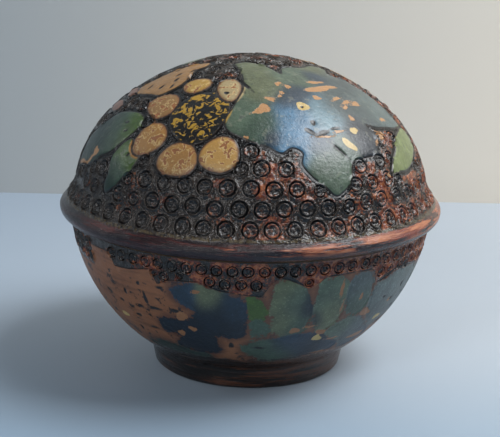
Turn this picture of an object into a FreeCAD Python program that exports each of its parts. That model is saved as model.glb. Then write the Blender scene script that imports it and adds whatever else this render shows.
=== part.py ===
"""Round trinket box turned from wood: a bowl on a low foot, and a domed lid with a bead round its rim.

The lid drops over a spigot that stands up inside the bowl's rim, and pulls straight off.
All sizes are in millimetres. The origin is at the middle of the foot's resting face, with +Z up.
"""

import FreeCAD
import Part
import math
import os

# Foot, the low ring that the bowl stands on
foot_radius = 27.4
foot_top_radius = 28.7
foot_height = 6.5
foot_edge_round = 0.6
foot_land = 5.0
foot_recess_depth = 1.6

# Bowl, a round wall that is part of a ball
bowl_radius = 52.0
bowl_wall = 6.0
bowl_floor = 6.4
bowl_floor_round = 9.0
seam_height = 44.4

# Spigot inside the bowl's rim, and its fit in the lid
spigot_height = 5.0
spigot_wall = 3.0
spigot_lead = 0.7
fit_clearance = 0.25
seat_clearance = 0.4

# Lid, a dome with a crown arc and a tighter side arc: lower than the bowl's ball, with a flatter crown
dome_inset = 0.7
dome_rise_below_ball = 10.4
dome_crown_beyond_ball = 7.0
dome_centre_above_seam = 3.8
lid_wall = 6.0

# Bead round the lid's rim: a cove and a slope that run out from the dome, a rounded edge and a lip
bead_overhang = 3.3
bead_lip_overhang = 1.0
bead_belly_above_seam = 2.8
bead_edge_round = 2.0
bead_slope = 50.0
bead_cove_round = 9.0

# Carving: rings struck side by side round the box, as V-shaped grooves
ring_radius = 2.45
ring_groove_width = 1.1
ring_groove_depth = 0.5
ring_cutter_clearance = 0.42
ring_spacing = 5.5
ring_sides = 8
lid_ring_rows = 3
lid_ring_row_pitch = 5.2
lid_low_ring_down_cove = 0.2
bowl_ring_below_seam = 2.8

Z_AXIS = FreeCAD.Vector(0, 0, 1)
ORIGIN = FreeCAD.Vector(0, 0, 0)


def point(radius, height):
    """A point of a half profile, in the plane through the axis."""
    return FreeCAD.Vector(radius, 0, height)


# Bowl: heights and radii that follow
bowl_centre_height = foot_height + math.sqrt(bowl_radius ** 2 - foot_top_radius ** 2)
bowl_inner_radius = bowl_radius - bowl_wall
floor_height = foot_recess_depth + bowl_floor
spigot_top_height = seam_height + spigot_height


def ball_level_radius(ball_radius, height):
    """Radius, at a height, of a ball about the bowl's centre."""
    return math.sqrt(ball_radius ** 2 - (height - bowl_centre_height) ** 2)


rim_radius = ball_level_radius(bowl_radius, seam_height)
spigot_radius = ball_level_radius(bowl_inner_radius, seam_height) + spigot_wall

# Lid: heights, radii and arc centres that follow
rebate_radius = spigot_radius + fit_clearance
rebate_top_height = spigot_top_height + seat_clearance
belly_height = seam_height + bead_belly_above_seam
bead_radius = rim_radius + bead_overhang
dome_radius = rim_radius - dome_inset
dome_centre_height = seam_height + dome_centre_above_seam
dome_rise = bowl_radius - dome_rise_below_ball
dome_top_height = dome_centre_height + dome_rise
dome_crown_radius = bowl_radius + dome_crown_beyond_ball

# The dome's side arc stands upright at the dome's centre height and runs smoothly into the crown arc
dome_side_radius = dome_rise * dome_crown_radius - (dome_radius ** 2 + dome_rise ** 2) / 2
dome_side_radius /= dome_crown_radius - dome_radius
dome_side_centre = point(dome_radius - dome_side_radius, dome_centre_height)
dome_crown_centre = point(0, dome_top_height - dome_crown_radius)


def dome_side_level_radius(inset, height):
    """Radius, at a height, of the dome's side, or of the surface that lies an inset inside it."""
    rise = height - dome_centre_height
    return dome_side_centre.x + math.sqrt((dome_side_radius - inset) ** 2 - rise ** 2)


def lines(*corners):
    """Straight edges through the corners, in order."""
    return [Part.LineSegment(a, b).toShape() for a, b in zip(corners, corners[1:])]


def arc_about(centre, start, end):
    """The shorter arc about a centre, between two points that lie equally far from it."""
    outward = (start - centre) + (end - centre)
    middle = centre + outward.normalize() * (start - centre).Length
    return Part.Arc(start, middle, end).toShape()


def ball_arc(ball_radius, low_height, high_height):
    """Arc about the bowl's centre, between two heights."""
    ends = [point(ball_level_radius(ball_radius, z), z) for z in (low_height, high_height)]
    return arc_about(point(0, bowl_centre_height), *ends)


def dome_arcs(inset, low_height):
    """Side arc, from a height up, and crown arc of the dome, or of the surface an inset inside it."""
    start = point(dome_side_level_radius(inset, low_height), low_height)
    outward = (dome_side_centre - dome_crown_centre).normalize()
    meeting = dome_side_centre + outward * (dome_side_radius - inset)
    top = point(0, dome_top_height - inset)
    return [arc_about(dome_side_centre, start, meeting), arc_about(dome_crown_centre, meeting, top)]


def bead_arc(end):
    """Arc of the bead that leaves its belly upright and runs to its other end."""
    inset = bead_radius - end.x
    arc_radius = (inset ** 2 + (end.z - belly_height) ** 2) / (2 * inset)
    return arc_about(point(bead_radius - arc_radius, belly_height), point(bead_radius, belly_height), end)


def bead_cove():
    """Centre of the cove arc, its ends on the dome and on the bead's slope, and the slope's outer end."""
    slope = math.radians(bead_slope)
    upward = point(-math.cos(slope), math.sin(slope))
    outward = point(math.sin(slope), math.cos(slope))
    edge_top = point(bead_radius - bead_edge_round, belly_height) + outward * bead_edge_round
    offset = edge_top + outward * bead_cove_round
    along = (offset - dome_side_centre).dot(upward)
    aside = (offset - dome_side_centre).dot(outward)
    reach = dome_side_radius + bead_cove_round
    centre = offset - upward * (along + math.sqrt(reach ** 2 - aside ** 2))
    on_dome = dome_side_centre + (centre - dome_side_centre) * (dome_side_radius / reach)
    return centre, on_dome, centre - outward * bead_cove_round, edge_top


def turned(edges):
    """Solid turned about the axis from the edges of a closed half profile."""
    outline = Part.Wire(Part.__sortEdges__(edges))
    return Part.Face(outline).revolve(ORIGIN, Z_AXIS, 360)


def round_edge(solid, corner, radius):
    """The solid with its turned edge through one profile corner rounded."""
    hoops = [edge for edge in solid.Edges if edge.isClosed()]
    starts = [edge.Vertexes[0].Point for edge in hoops]
    gaps = [math.hypot(math.hypot(p.x, p.y) - corner.x, p.z - corner.z) for p in starts]
    nearest = hoops[gaps.index(min(gaps))]
    return solid.makeFillet(radius, [nearest]).Solids[0]


def make_bowl():
    """Bowl, foot and spigot, turned as one piece."""
    recess_radius = foot_radius - foot_land
    recess_top = point(recess_radius, foot_recess_depth)
    foot_edge = point(foot_radius, 0)
    foot_top = point(foot_top_radius, foot_height)
    middle = point(0, foot_recess_depth)
    outside = lines(middle, recess_top, point(recess_radius, 0), foot_edge, foot_top)
    outside.append(ball_arc(bowl_radius, foot_height, seam_height))

    rim = point(rim_radius, seam_height)
    spigot_foot = point(spigot_radius, seam_height)
    lead_start = point(spigot_radius, spigot_top_height - spigot_lead)
    lead_end = point(spigot_radius - spigot_lead, spigot_top_height)
    spigot_inside = point(ball_level_radius(bowl_inner_radius, spigot_top_height), spigot_top_height)
    seat = lines(rim, spigot_foot, lead_start, lead_end, spigot_inside)

    floor_edge = point(ball_level_radius(bowl_inner_radius, floor_height), floor_height)
    inside = lines(floor_edge, point(0, floor_height), middle)
    inside.append(ball_arc(bowl_inner_radius, floor_height, spigot_top_height))

    bowl = turned(outside + seat + inside)
    bowl = round_edge(bowl, floor_edge, bowl_floor_round)
    return round_edge(bowl, foot_edge, foot_edge_round)


def make_lid():
    """Domed lid with its bead and the rebate that drops over the spigot."""
    cove_centre, cove_top, cove_foot, edge_top = bead_cove()
    lip = point(rim_radius + bead_lip_overhang, seam_height)
    outside = dome_arcs(0, cove_top.z) + [arc_about(cove_centre, cove_top, cove_foot)]
    outside += lines(cove_foot, edge_top) + [bead_arc(edge_top), bead_arc(lip)]

    inner_foot = point(dome_side_level_radius(lid_wall, rebate_top_height), rebate_top_height)
    rebate_mouth = point(rebate_radius, seam_height)
    rebate_corner = point(rebate_radius, rebate_top_height)
    seat = lines(lip, rebate_mouth, rebate_corner, inner_foot)

    inside = lines(point(0, dome_top_height), point(0, dome_top_height - lid_wall))
    inside += dome_arcs(lid_wall, rebate_top_height)
    return turned(outside + seat + inside)


def ring_cutter():
    """Ring with a V section that stands point down on the XY plane, sunk to the groove's depth.

    Its flat sides face the X and Y ways, so that rings set side by side keep clear of each other.
    """
    middle = ring_radius - ring_groove_width / 2
    spread = ring_groove_width / 2 * (1 + ring_cutter_clearance / ring_groove_depth)
    section = (
        (middle + spread, ring_cutter_clearance),
        (middle, -ring_groove_depth),
        (middle - spread, ring_cutter_clearance),
    )
    turns = [2 * math.pi * (k + 0.5) / ring_sides for k in range(ring_sides)]
    hoops = []
    for radius, height in section:
        hoops.append([FreeCAD.Vector(radius * math.cos(t), radius * math.sin(t), height) for t in turns])
    faces = []
    for upper, lower in zip(hoops, hoops[1:] + hoops[:1]):
        for k in range(ring_sides):
            n = (k + 1) % ring_sides
            faces.append(Part.Face(Part.makePolygon([upper[k], upper[n], lower[n], lower[k], upper[k]])))
    return Part.Solid(Part.Shell(faces))


def ring_row(seat, arc_centre):
    """Ring cutters set evenly round the box from one seat, square to the arc that the seat lies on.

    The first two stand either side of the XZ plane, clear of the line where a turned face closes.
    """
    outward = seat - arc_centre
    if outward.x < 0:
        outward = -outward
    on_surface = FreeCAD.Placement(seat, FreeCAD.Rotation(Z_AXIS, outward))
    count = round(2 * math.pi * seat.x / ring_spacing)
    cutters = []
    for k in range(count):
        around = FreeCAD.Placement(ORIGIN, FreeCAD.Rotation(Z_AXIS, 360 * (k + 0.5) / count))
        cutter = ring_cutter()
        cutter.Placement = around.multiply(on_surface)
        cutters.append(cutter)
    return cutters


def strike_lid(lid):
    """The lid with its full rows of rings, the lowest on the cove and the others above it on the dome."""
    cove_centre, cove_top = bead_cove()[:2]
    low_height = cove_top.z - lid_low_ring_down_cove
    inset = math.sqrt(bead_cove_round ** 2 - (cove_centre.z - low_height) ** 2)
    cutters = ring_row(point(cove_centre.x - inset, low_height), cove_centre)
    for row in range(1, lid_ring_rows):
        height = low_height + row * lid_ring_row_pitch
        cutters += ring_row(point(dome_side_level_radius(0, height), height), dome_side_centre)
    return lid.cut(cutters).Solids[0]


def strike_bowl(bowl):
    """The bowl with its row of rings under the rim."""
    height = seam_height - bowl_ring_below_seam
    seat = point(ball_level_radius(bowl_radius, height), height)
    return bowl.cut(ring_row(seat, point(0, bowl_centre_height))).Solids[0]


os.makedirs("parts", exist_ok=True)
for name, solid in (("bowl", strike_bowl(make_bowl())), ("lid", strike_lid(make_lid()))):
    print(name, solid.ShapeType, "valid", solid.isValid(), "volume", round(solid.Volume))
    solid.exportStep(f"parts/{name}.step")
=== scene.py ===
"""Looks of the trinket box: turned wood, burnt with a ring punch, painted and varnished.

The turned outside of the lid, and of the bowl, is first laid out flat, as if it were unrolled
round its middle. On that flat sheet the ground is punched, and the flower and leaves are laid
on; then the sheet is wrapped on to the turned form. Sheets are worked in millimetres. Finished
meshes, lamps and the camera are in metres.
"""

import math

import bpy
import numpy as np
from mathutils import Matrix, Vector, geometry


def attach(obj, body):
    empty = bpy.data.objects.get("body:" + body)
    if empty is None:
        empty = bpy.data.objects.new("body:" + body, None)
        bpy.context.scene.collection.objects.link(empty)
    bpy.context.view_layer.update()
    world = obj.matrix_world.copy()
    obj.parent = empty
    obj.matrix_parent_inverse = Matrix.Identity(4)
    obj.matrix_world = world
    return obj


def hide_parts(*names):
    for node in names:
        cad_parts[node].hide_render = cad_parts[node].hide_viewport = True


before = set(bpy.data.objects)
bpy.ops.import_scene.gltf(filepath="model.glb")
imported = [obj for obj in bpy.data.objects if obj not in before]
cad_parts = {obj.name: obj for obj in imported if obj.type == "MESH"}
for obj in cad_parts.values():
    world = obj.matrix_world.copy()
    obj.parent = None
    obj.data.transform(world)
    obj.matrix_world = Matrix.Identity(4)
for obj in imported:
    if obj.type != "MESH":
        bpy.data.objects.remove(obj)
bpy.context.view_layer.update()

MM = 0.001
rng = np.random.default_rng(11)

# Bowl, as turned
BALL_RADIUS = 52.0
BOWL_WALL = 6.0
FLOOR = 8.0
FLOOR_ROUND = 9.0
FOOT_RADIUS = 27.4
FOOT_TOP_RADIUS = 28.7
FOOT_HEIGHT = 6.5
FOOT_LAND = 5.0
FOOT_RECESS = 1.6
SEAM = 44.4
BALL_CENTRE = FOOT_HEIGHT + math.sqrt(BALL_RADIUS ** 2 - FOOT_TOP_RADIUS ** 2)
RIM_RADIUS = math.sqrt(BALL_RADIUS ** 2 - (SEAM - BALL_CENTRE) ** 2)
SPIGOT_RADIUS = math.sqrt((BALL_RADIUS - BOWL_WALL) ** 2 - (SEAM - BALL_CENTRE) ** 2) + 3.0
SPIGOT_TOP = SEAM + 5.0

# Lid, as turned: crown arc and side arc of its dome, a cove, and a bead with a sloped top
DOME_RADIUS = RIM_RADIUS - 0.7
DOME_RISE = 41.6
DOME_CENTRE = SEAM + 3.8
CROWN_RADIUS = 59.0
SIDE_RADIUS = DOME_RISE * CROWN_RADIUS - (DOME_RADIUS ** 2 + DOME_RISE ** 2) / 2
SIDE_RADIUS /= CROWN_RADIUS - DOME_RADIUS
CROWN_MIDDLE = np.array([0, DOME_CENTRE + DOME_RISE - CROWN_RADIUS])
SIDE_MIDDLE = np.array([DOME_RADIUS - SIDE_RADIUS, DOME_CENTRE])
LID_WALL = 6.0
REBATE_RADIUS = SPIGOT_RADIUS + 0.25
REBATE_TOP = SPIGOT_TOP + 0.4
COVE_RADIUS = 9.0
BEAD_RADIUS = RIM_RADIUS + 3.3
BEAD_BELLY = SEAM + 2.8
BEAD_EDGE = 2.0
BEAD_SLOPE = 50.0
LIP_RADIUS = RIM_RADIUS + 1.0

# Ring punch, and how closely the ground is struck with it
MARK = 2.84
MARK_PROFILE = ((1.0, 0.0), (0.93, 0.26), (0.87, 0.16), (0.8, -0.8), (0.72, -0.8), (0.62, 0.12), (0.54, 0.02))
GROUND_DEPTH = 0.2
SIDES = 12
MARK_STEP = 5.85
MARK_ROW = 5.2
MARK_VARIANTS = 6
LID_LOW_ROW = 52.5
BOWL_TOP_ROW = 41.4
BOWL_MARKS = 0.7

# Burnt channel along the painted edges, and the thinner lines drawn between painted shapes
CHANNEL = 0.55
CHANNEL_DEPTH = 0.42
LINE_DEPTH = 0.16

# How deep the flower's heart and the nicks lie, and how the petals are rounded over at their edges
HEART_DEPTH = 0.2
NICK_DEPTH = 0.24
PETAL_DROP = 0.22
PETAL_ROUND = 1.6

# Welding of the marks to the sheet, and the unevenness of the whole surface
WELD = 0.02
GRAIN_DEPTH = 0.16
GRAIN_SIZE = 0.3

# Room between two marks, from a mark to the ground's edge, and from a mark's rim to the sheet's next point
MARK_GAP = 0.1
EDGE_ROOM = 1.1
RIM_ROOM = 0.32

# The relief stays within the crown's height: no higher than the square of the way from its middle over this
CROWN_EASE = 125

SEGMENTS = 440
GRID = 0.7


# Turned profiles, as points (radius, height)

def bow(centre, radius, start, end, count):
    """Points of an arc, with angles in degrees above the horizontal."""
    turn = np.radians(np.linspace(start, end, count))
    return np.column_stack([centre[0] + radius * np.cos(turn), centre[1] + radius * np.sin(turn)])


def angle_at(centre, radius, height):
    """Angle, in degrees, at which a circle passes a height."""
    return math.degrees(math.asin((height - centre[1]) / radius))


def bead_bow(end, count=60):
    """Arc of the bead from its belly to its other end."""
    climb = end[1] - BEAD_BELLY
    inset = BEAD_RADIUS - end[0]
    radius = (inset ** 2 + climb ** 2) / (2 * inset)
    turn = math.degrees(math.atan2(climb, radius - inset))
    return bow((BEAD_RADIUS - radius, BEAD_BELLY), radius, 0, turn, count)


def dome(inset, low, count):
    """Points of the dome, or of the surface an inset inside it, from its crown down to a height."""
    lean = math.degrees(math.atan2(*(SIDE_MIDDLE - CROWN_MIDDLE)[::-1]))
    low_turn = angle_at(SIDE_MIDDLE, SIDE_RADIUS - inset, low)
    crown = bow(CROWN_MIDDLE, CROWN_RADIUS - inset, 90, lean, count)
    return np.vstack([crown, bow(SIDE_MIDDLE, SIDE_RADIUS - inset, lean, low_turn, count)[1:]])


def cove_and_edge():
    """Points of the cove from the dome's foot, and of the slope and the bead's edge below it."""
    outward = np.array([math.sin(math.radians(BEAD_SLOPE)), math.cos(math.radians(BEAD_SLOPE))])
    upward = np.array([-outward[1], outward[0]])
    edge = np.array([BEAD_RADIUS - BEAD_EDGE, BEAD_BELLY])
    offset = edge + outward * (BEAD_EDGE + COVE_RADIUS)
    along, aside = (offset - SIDE_MIDDLE) @ upward, (offset - SIDE_MIDDLE) @ outward
    middle = offset - upward * (along + math.sqrt((SIDE_RADIUS + COVE_RADIUS) ** 2 - aside ** 2))
    start = math.degrees(math.atan2(*(SIDE_MIDDLE - middle)[::-1]))
    cove = bow(middle, COVE_RADIUS, start, -90 - BEAD_SLOPE, 40)
    return cove, bow(edge, BEAD_EDGE, 90 - BEAD_SLOPE, 0, 16)


def ease(before, after, reach):
    """Joins two stretches of a profile by a soft curve in place of their corner."""
    corner = before[-1]
    first = before[np.hypot(*(before - corner).T) > reach]
    last = after[np.hypot(*(after - corner).T) > reach]
    t = np.linspace(0, 1, 14)[1:-1, None]
    curve = (1 - t) ** 2 * first[-1] + 2 * t * (1 - t) * corner + t ** 2 * last[0]
    return np.vstack([first, curve, last])


def bevel(corners, size):
    """Corners of an inside profile, each broken by a small flat."""
    corners = [np.array(corner, float) for corner in corners]
    points = [corners[0]]
    for before, here, after in zip(corners, corners[1:], corners[2:]):
        for other in (before, after):
            step = other - here
            points.append(here + step / math.hypot(*step) * size)
    return np.array(points + [corners[-1]])


class Turning:
    """A turned profile followed from its middle outwards; side is -1 where outside is below."""

    def __init__(self, side, *stretches):
        self.side = side
        self.points = np.vstack(stretches)
        self.along = np.concatenate([[0], np.cumsum(np.hypot(*np.diff(self.points, axis=0).T))])
        self.last = np.cumsum([len(part) for part in stretches]) - 1

    def at(self, along):
        """Radius and height at places along the profile."""
        return [np.interp(along, self.along, part) for part in self.points.T]

    def level(self, height, stretch):
        """How far along the profile, up to the end of a stretch, a height is passed."""
        n = self.last[stretch] + 1
        order = np.argsort(self.points[:n, 1])
        return float(np.interp(height, self.points[:n, 1][order], self.along[:n][order]))

    def wrap(self, flat):
        """The flat sheet wrapped on to the form."""
        along = np.hypot(flat[:, 0], flat[:, 1])
        turn = np.arctan2(flat[:, 0], -flat[:, 1])
        radius, height = self.at(along)
        ahead, behind = self.at(along + 0.05), self.at(along - 0.05)
        run = np.column_stack([ahead[0] - behind[0], ahead[1] - behind[1]])
        run *= self.side / np.maximum(np.hypot(*run.T), 1e-9)[:, None]
        radius = np.maximum(radius - run[:, 1] * flat[:, 2], 0)
        height = height + run[:, 0] * flat[:, 2]
        return np.column_stack([radius * np.sin(turn), -radius * np.cos(turn), height])


def lid_turning():
    """Lid from its crown over the cove and the bead, under the lip and up to the inside of the crown."""
    cove, edge = cove_and_edge()
    slope = np.linspace(cove[-1], edge[0], 16)[1:]
    outside = np.vstack([slope, edge[1:], bead_bow((LIP_RADIUS, SEAM))[1:]])
    underside = np.linspace((LIP_RADIUS, SEAM), (REBATE_RADIUS + 1, SEAM), 20)
    outside = ease(outside, underside, 0.4)
    hollow = dome(LID_WALL, REBATE_TOP, 14)[::-1]
    corners = [outside[-1], (REBATE_RADIUS, SEAM), (REBATE_RADIUS, REBATE_TOP), hollow[0], hollow[1]]
    return Turning(1, dome(0, cove[0, 1], 450), cove[1:], outside, bevel(corners, 0.25)[1:-1], hollow[1:])


def bowl_turning():
    """Bowl from under its foot, up the wall, over the spigot and down to its inside floor."""
    ball = (0, BALL_CENTRE)
    recess = FOOT_RADIUS - FOOT_LAND
    foot_top = (FOOT_TOP_RADIUS, FOOT_HEIGHT)
    under = bevel([(0, FOOT_RECESS), (recess, FOOT_RECESS), (recess, 0), (FOOT_RADIUS, 0), foot_top], 0.5)
    foot = np.vstack([[(0, FOOT_RECESS), (4, FOOT_RECESS), (12, FOOT_RECESS)], under[1:-1]])
    foot = np.vstack([foot, np.linspace(foot[-1], foot_top, 12)[1:-1]])
    wall_turns = [angle_at(ball, BALL_RADIUS, height) for height in (FOOT_HEIGHT, SEAM)]
    wall = bow(ball, BALL_RADIUS, *wall_turns, 700)
    inner = BALL_RADIUS - BOWL_WALL
    bed_turn = angle_at(ball, inner - FLOOR_ROUND, FLOOR + FLOOR_ROUND)
    hollow = bow(ball, inner, angle_at(ball, inner, SPIGOT_TOP), bed_turn, 22)
    bed = bow(ball, inner - FLOOR_ROUND, bed_turn, bed_turn, 1)[0]
    hollow = np.vstack([hollow, bow(bed, FLOOR_ROUND, bed_turn, -90, 7)[1:]])
    corners = [wall[-7], wall[-1], (SPIGOT_RADIUS, SEAM), (SPIGOT_RADIUS, SPIGOT_TOP), hollow[0], hollow[1]]
    spigot = bevel(corners, 0.3)[1:-1]
    return Turning(-1, foot, wall[:-6], spigot, hollow[1:], np.array([(14, FLOOR), (7, FLOOR), (0, FLOOR)]))


# Outlines on the flat sheet

def turned_about(places, degrees):
    """Places of the sheet carried round its middle."""
    c, s = math.cos(math.radians(degrees)), math.sin(math.radians(degrees))
    return places @ np.array([[c, s], [-s, c]])


def closed_curve(points, steps=7):
    """Smooth closed curve through a few points, as a ring of short steps."""
    p = np.array(points, float)
    before, after, beyond = (np.roll(p, k, axis=0) for k in (1, -1, -2))
    ring = []
    for t in np.arange(steps) / steps:
        out, come = (after - before) / 2, (beyond - p) / 2
        near = (2 * t ** 3 - 3 * t ** 2 + 1) * p + (t ** 3 - 2 * t ** 2 + t) * out
        ring.append(near + (3 * t ** 2 - 2 * t ** 3) * after + (t ** 3 - t ** 2) * come)
    return np.stack(ring, axis=1).reshape(-1, 2)


def oval(x, y, long, short, turn=0, wobble=0.045, seed=0):
    """Slightly uneven oval, turned by some degrees."""
    t = np.linspace(0, 2 * math.pi, 36, endpoint=False)
    swell = 1 + wobble * np.sin(3 * t + seed) + wobble * np.sin(2 * t + 2.1 * seed)
    ring = np.column_stack([long * swell * np.cos(t), short * swell * np.sin(t)])
    return turned_about(ring, turn) + (x, y)


def beside(ring, gap):
    """A ring's outline moved outwards by a gap."""
    run = np.roll(ring, -1, axis=0) - np.roll(ring, 1, axis=0)
    side = np.column_stack([run[:, 1], -run[:, 0]]) / np.maximum(np.hypot(*run.T), 1e-9)[:, None]
    x, y = ring.T
    return ring + side * gap * np.sign(np.sum(x * np.roll(y, -1) - np.roll(x, -1) * y))


def inside_by(flat, ring, reach=5.0):
    """How far inside a ring each place lies: negative outside it, and no less than minus reach."""
    deep = np.full(len(flat), -reach)
    near = np.flatnonzero(((flat > ring.min(0) - reach) & (flat < ring.max(0) + reach)).all(1))
    if not len(near):
        return deep
    p = flat[near]
    gap = np.full(len(near), reach)
    inside = np.zeros(len(near), bool)
    for a, b in zip(ring, np.roll(ring, -1, axis=0)):
        step = b - a
        t = np.clip(((p - a) @ step) / max(step @ step, 1e-12), 0, 1)
        gap = np.minimum(gap, np.hypot(*(p - a - t[:, None] * step).T))
        spans = (a[1] > p[:, 1]) != (b[1] > p[:, 1])
        inside ^= spans & (p[:, 0] < (p[:, 1] - a[1]) * step[0] / (step[1] or 1e-12) + a[0])
    deep[near] = np.where(inside, gap, -gap)
    return deep


def srgb(red, green, blue):
    """Linear colour of a paint given as it looks, each part 0 to 255."""
    levels = [part / 255 for part in (red, green, blue)]
    return tuple(v / 12.92 if v <= 0.04045 else ((v + 0.055) / 1.055) ** 2.4 for v in levels)


CREAM = srgb(166, 146, 106)
OCHRE = srgb(170, 134, 64)
WHEAT = srgb(178, 136, 72)
HONEY = srgb(158, 114, 60)
TAN = srgb(142, 106, 64)
PINK = srgb(120, 88, 74)
OLIVE = srgb(92, 98, 72)
MOSS = srgb(62, 84, 32)
TEAL = srgb(34, 52, 46)
LIME = srgb(116, 126, 80)
SAGE = srgb(78, 92, 76)
FERN = srgb(60, 78, 64)
SLATE = srgb(70, 80, 80)
MIST = srgb(86, 98, 96)
DENIM = srgb(32, 50, 66)
# Light blue, partly the leaf's own paint and partly painted sheen of the varnish; the pale blue-grey after it
# is painted glare
SKY_AND_SHEEN = srgb(64, 106, 134)
PAINTED_GLARE = srgb(94, 122, 132)
NAVY = srgb(14, 26, 38)

# Flower and leaves of the lid, with the front at -y

PETALS = [
    (-6.4, -25.6, 3.6, 5.5, 8, CREAM),
    (-15.5, -21.0, 4.2, 4.0, 0, OCHRE),
    (-25.5, -25.4, 5.0, 5.6, 24, TAN),
    (-30.0, -36.5, 6.0, 5.2, -20, HONEY),
    (-22.0, -46.9, 6.6, 5.2, -15, HONEY),
    (-9.3, -48.5, 6.4, 5.2, 10, WHEAT),
]
HEART = (-15.0, -34.5, 8.6, 9.2, 0)
SIDE_PETALS = [(-41.5, -5.0, 2.2, 6.5, 14), (-36.0, -3.0, 2.0, 5.5, 6)]
BUD = [
    (-34.8, -5.2), (-32.8, -11.9), (-29.6, -16.1), (-26.5, -19.5), (-20.8, -18.7), (-17.7, -15.1),
    (-16.1, -10.9), (-13, -9.3), (-12.4, -6.2), (-20.3, -4.1), (-27, -4.6),
]
LEFT_LEAF = [
    (-59.8, -11.9), (-56.2, -20.3), (-53.6, -24.4), (-48.4, -27.6), (-43.2, -30.8), (-35.9, -31.0),
    (-32.2, -29.1), (-32, -24.9), (-36.9, -18.2), (-40, -15.1), (-43.7, -13.5), (-48.9, -10.4), (-53, -7.8),
]
LEFT_LOBE = [
    (-43.2, -32.6), (-35.9, -32.4), (-35.4, -37.4), (-32.8, -40), (-37, -42.1), (-43.7, -42.6),
    (-49.4, -41.1), (-49.4, -38.5), (-46.3, -36.4),
]
RIGHT_LEAF = [
    (-5.3, -10.6), (-2.1, -9.3), (1, -10.6), (4.4, -13.2), (7.6, -16.4), (7.6, -12.7), (9.8, -10.4),
    (13.5, -8.2), (16.5, -2.5), (20.5, -1.4), (21.4, -6), (27, -4.4), (35, -5.2), (41, -8), (45.6, -10.1),
    (45.3, -11.9), (43.2, -16.6), (40, -20.8), (36.9, -24.4), (33.2, -26.8), (37.2, -28), (38.2, -32.2),
    (38.7, -34.3), (35.9, -37.4), (32.2, -41), (30.4, -43.3), (31.2, -47), (30.8, -50), (27.6, -54.3),
    (23.4, -53.5), (19.2, -52.5), (15.1, -49.9), (14.8, -46.6), (11.7, -45.8), (8.6, -48), (4.9, -46.8),
    (0.5, -45.5), (-2.7, -44.2), (-6.8, -41.6), (-7.6, -38), (-5.8, -34.3), (-4.5, -31.2), (-2.7, -26),
    (-2.9, -20), (-4.2, -13.5),
]
FAR_LEAF = [
    (46.3, -10.1), (49, -7.5), (53.1, -10.1), (53.3, -15.6), (52.8, -22.3), (51, -28), (47.9, -32.2),
    (45.3, -35.4), (44.5, -31.2), (44.7, -26), (44.2, -20.8), (45.3, -14.5),
]

LEAF_DABS = [
    (-35, -28, 6, MOSS), (-41, -23, 6, FERN), (-46, -17, 7, TEAL), (-54, -14, 8, TEAL), (-37, -37, 5, MOSS),
    (-43, -39, 4, FERN), (-48, -40, 4, TEAL),
]
# In the spray's middle the light-blue dabs are partly painted sheen, and the pale blue-grey dab is painted
# glare
SPRAY_DABS = [
    (-2, -16, 7, OLIVE), (3, -25, 6, OLIVE), (10, -16, 6, SAGE), (16, -7, 5, OLIVE), (17, -13, 4, DENIM),
    (25, -12, 8, SLATE), (36, -14, 9, MIST), (-4, -36, 6, SAGE), (2, -39, 6, FERN), (6, -44, 3, NAVY),
    (11, -28, 6, DENIM), (12, -36, 6, SKY_AND_SHEEN), (12, -44, 6, SKY_AND_SHEEN), (20, -31, 6, PAINTED_GLARE), (24, -26, 5, SLATE),
    (20, -42, 4, DENIM), (24, -48, 7, SAGE), (28, -40, 4, FERN), (34, -32, 7, NAVY), (33, -23, 5, SLATE),
]
SPRAY_CHIPS = [
    (18.7, -19.7, 6.0, 1.2, 39), (17.3, -17, 2.8, 0.8, 37), (17.9, -25.1, 1.6, 0.8, 22),
    (23.5, -22, 2.6, 0.6, 50), (26.5, -21.5, 2.8, 0.7, 62), (29.5, -19.5, 2.4, 0.8, 60),
    (26.4, -24, 1.8, 0.6, 60), (28.4, -27.7, 0.9, 1.1, 0), (24.8, -35.5, 2.8, 0.4, 38),
    (2.9, -34.2, 2.0, 1.8, 0), (0.8, -35.6, 1.4, 0.5, 20), (4.8, -30, 2.0, 0.7, -10),
    (6.8, -22.6, 0.8, 1.1, 0), (9.5, -23.3, 0.8, 1.1, 0), (7.9, -26.6, 0.9, 0.6, 0),
    (7.4, -28.2, 0.6, 0.7, 0), (38.8, -17.8, 1.6, 0.8, 60), (38.4, -25.8, 1.6, 1.2, 0),
    (44.4, -36.4, 1.4, 0.8, 60), (-1.6, -44.3, 0.7, 0.9, 0), (36.2, -26.6, 2.4, 0.7, 8),
    (37.8, -29.6, 0.9, 2.2, 0), (-57.6, -16.4, 5.2, 0.8, -62), (-50, -23.4, 1.6, 1.5, 0),
    (-53.4, -22.6, 2.4, 0.8, -30), (20.5, -39.4, 3.6, 0.4, 24),
]
SPRAY_GOLD = [(29.4, -32.3, 1.5, 1.1, 30), (28.5, -38, 2.5, 1.3, -5), (13.9, -30.7, 2.1, 1.5, 20)]
SPRAY_NICKS = [
    (-2.2, -23.9, 4.6, 0.6, -58), (25.8, -41.5, 4.8, 0.45, -17), (16.6, -39.3, 2.4, 0.7, -15),
    (20.2, -38.2, 2.4, 0.75, 38), (23.5, -35.0, 2.2, 0.5, 40), (17.1, -35.8, 0.9, 0.9, 0),
    (13.7, -31, 0.5, 0.5, 0), (-7.2, -27.4, 0.7, 0.7, 0), (-26, -14.8, 1.4, 0.5, 40),
    (-21.6, -13.8, 1.3, 0.5, 50), (-16.9, -10.6, 1.2, 0.45, 30), (-21, -10.4, 1.3, 0.5, 35),
    (-22.9, -17.1, 1.2, 0.45, 55), (-29.6, -10.4, 1.4, 0.5, 45), (-21.3, -5.7, 1.2, 0.4, 20),
    (-36.9, -24.4, 1.1, 0.4, -45), (-37.7, -27.6, 0.9, 0.35, -30), (-37.7, -37.2, 0.8, 0.4, 0),
]

# Leaves of the bowl, as (degrees round from the front, distance up the wall)

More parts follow.
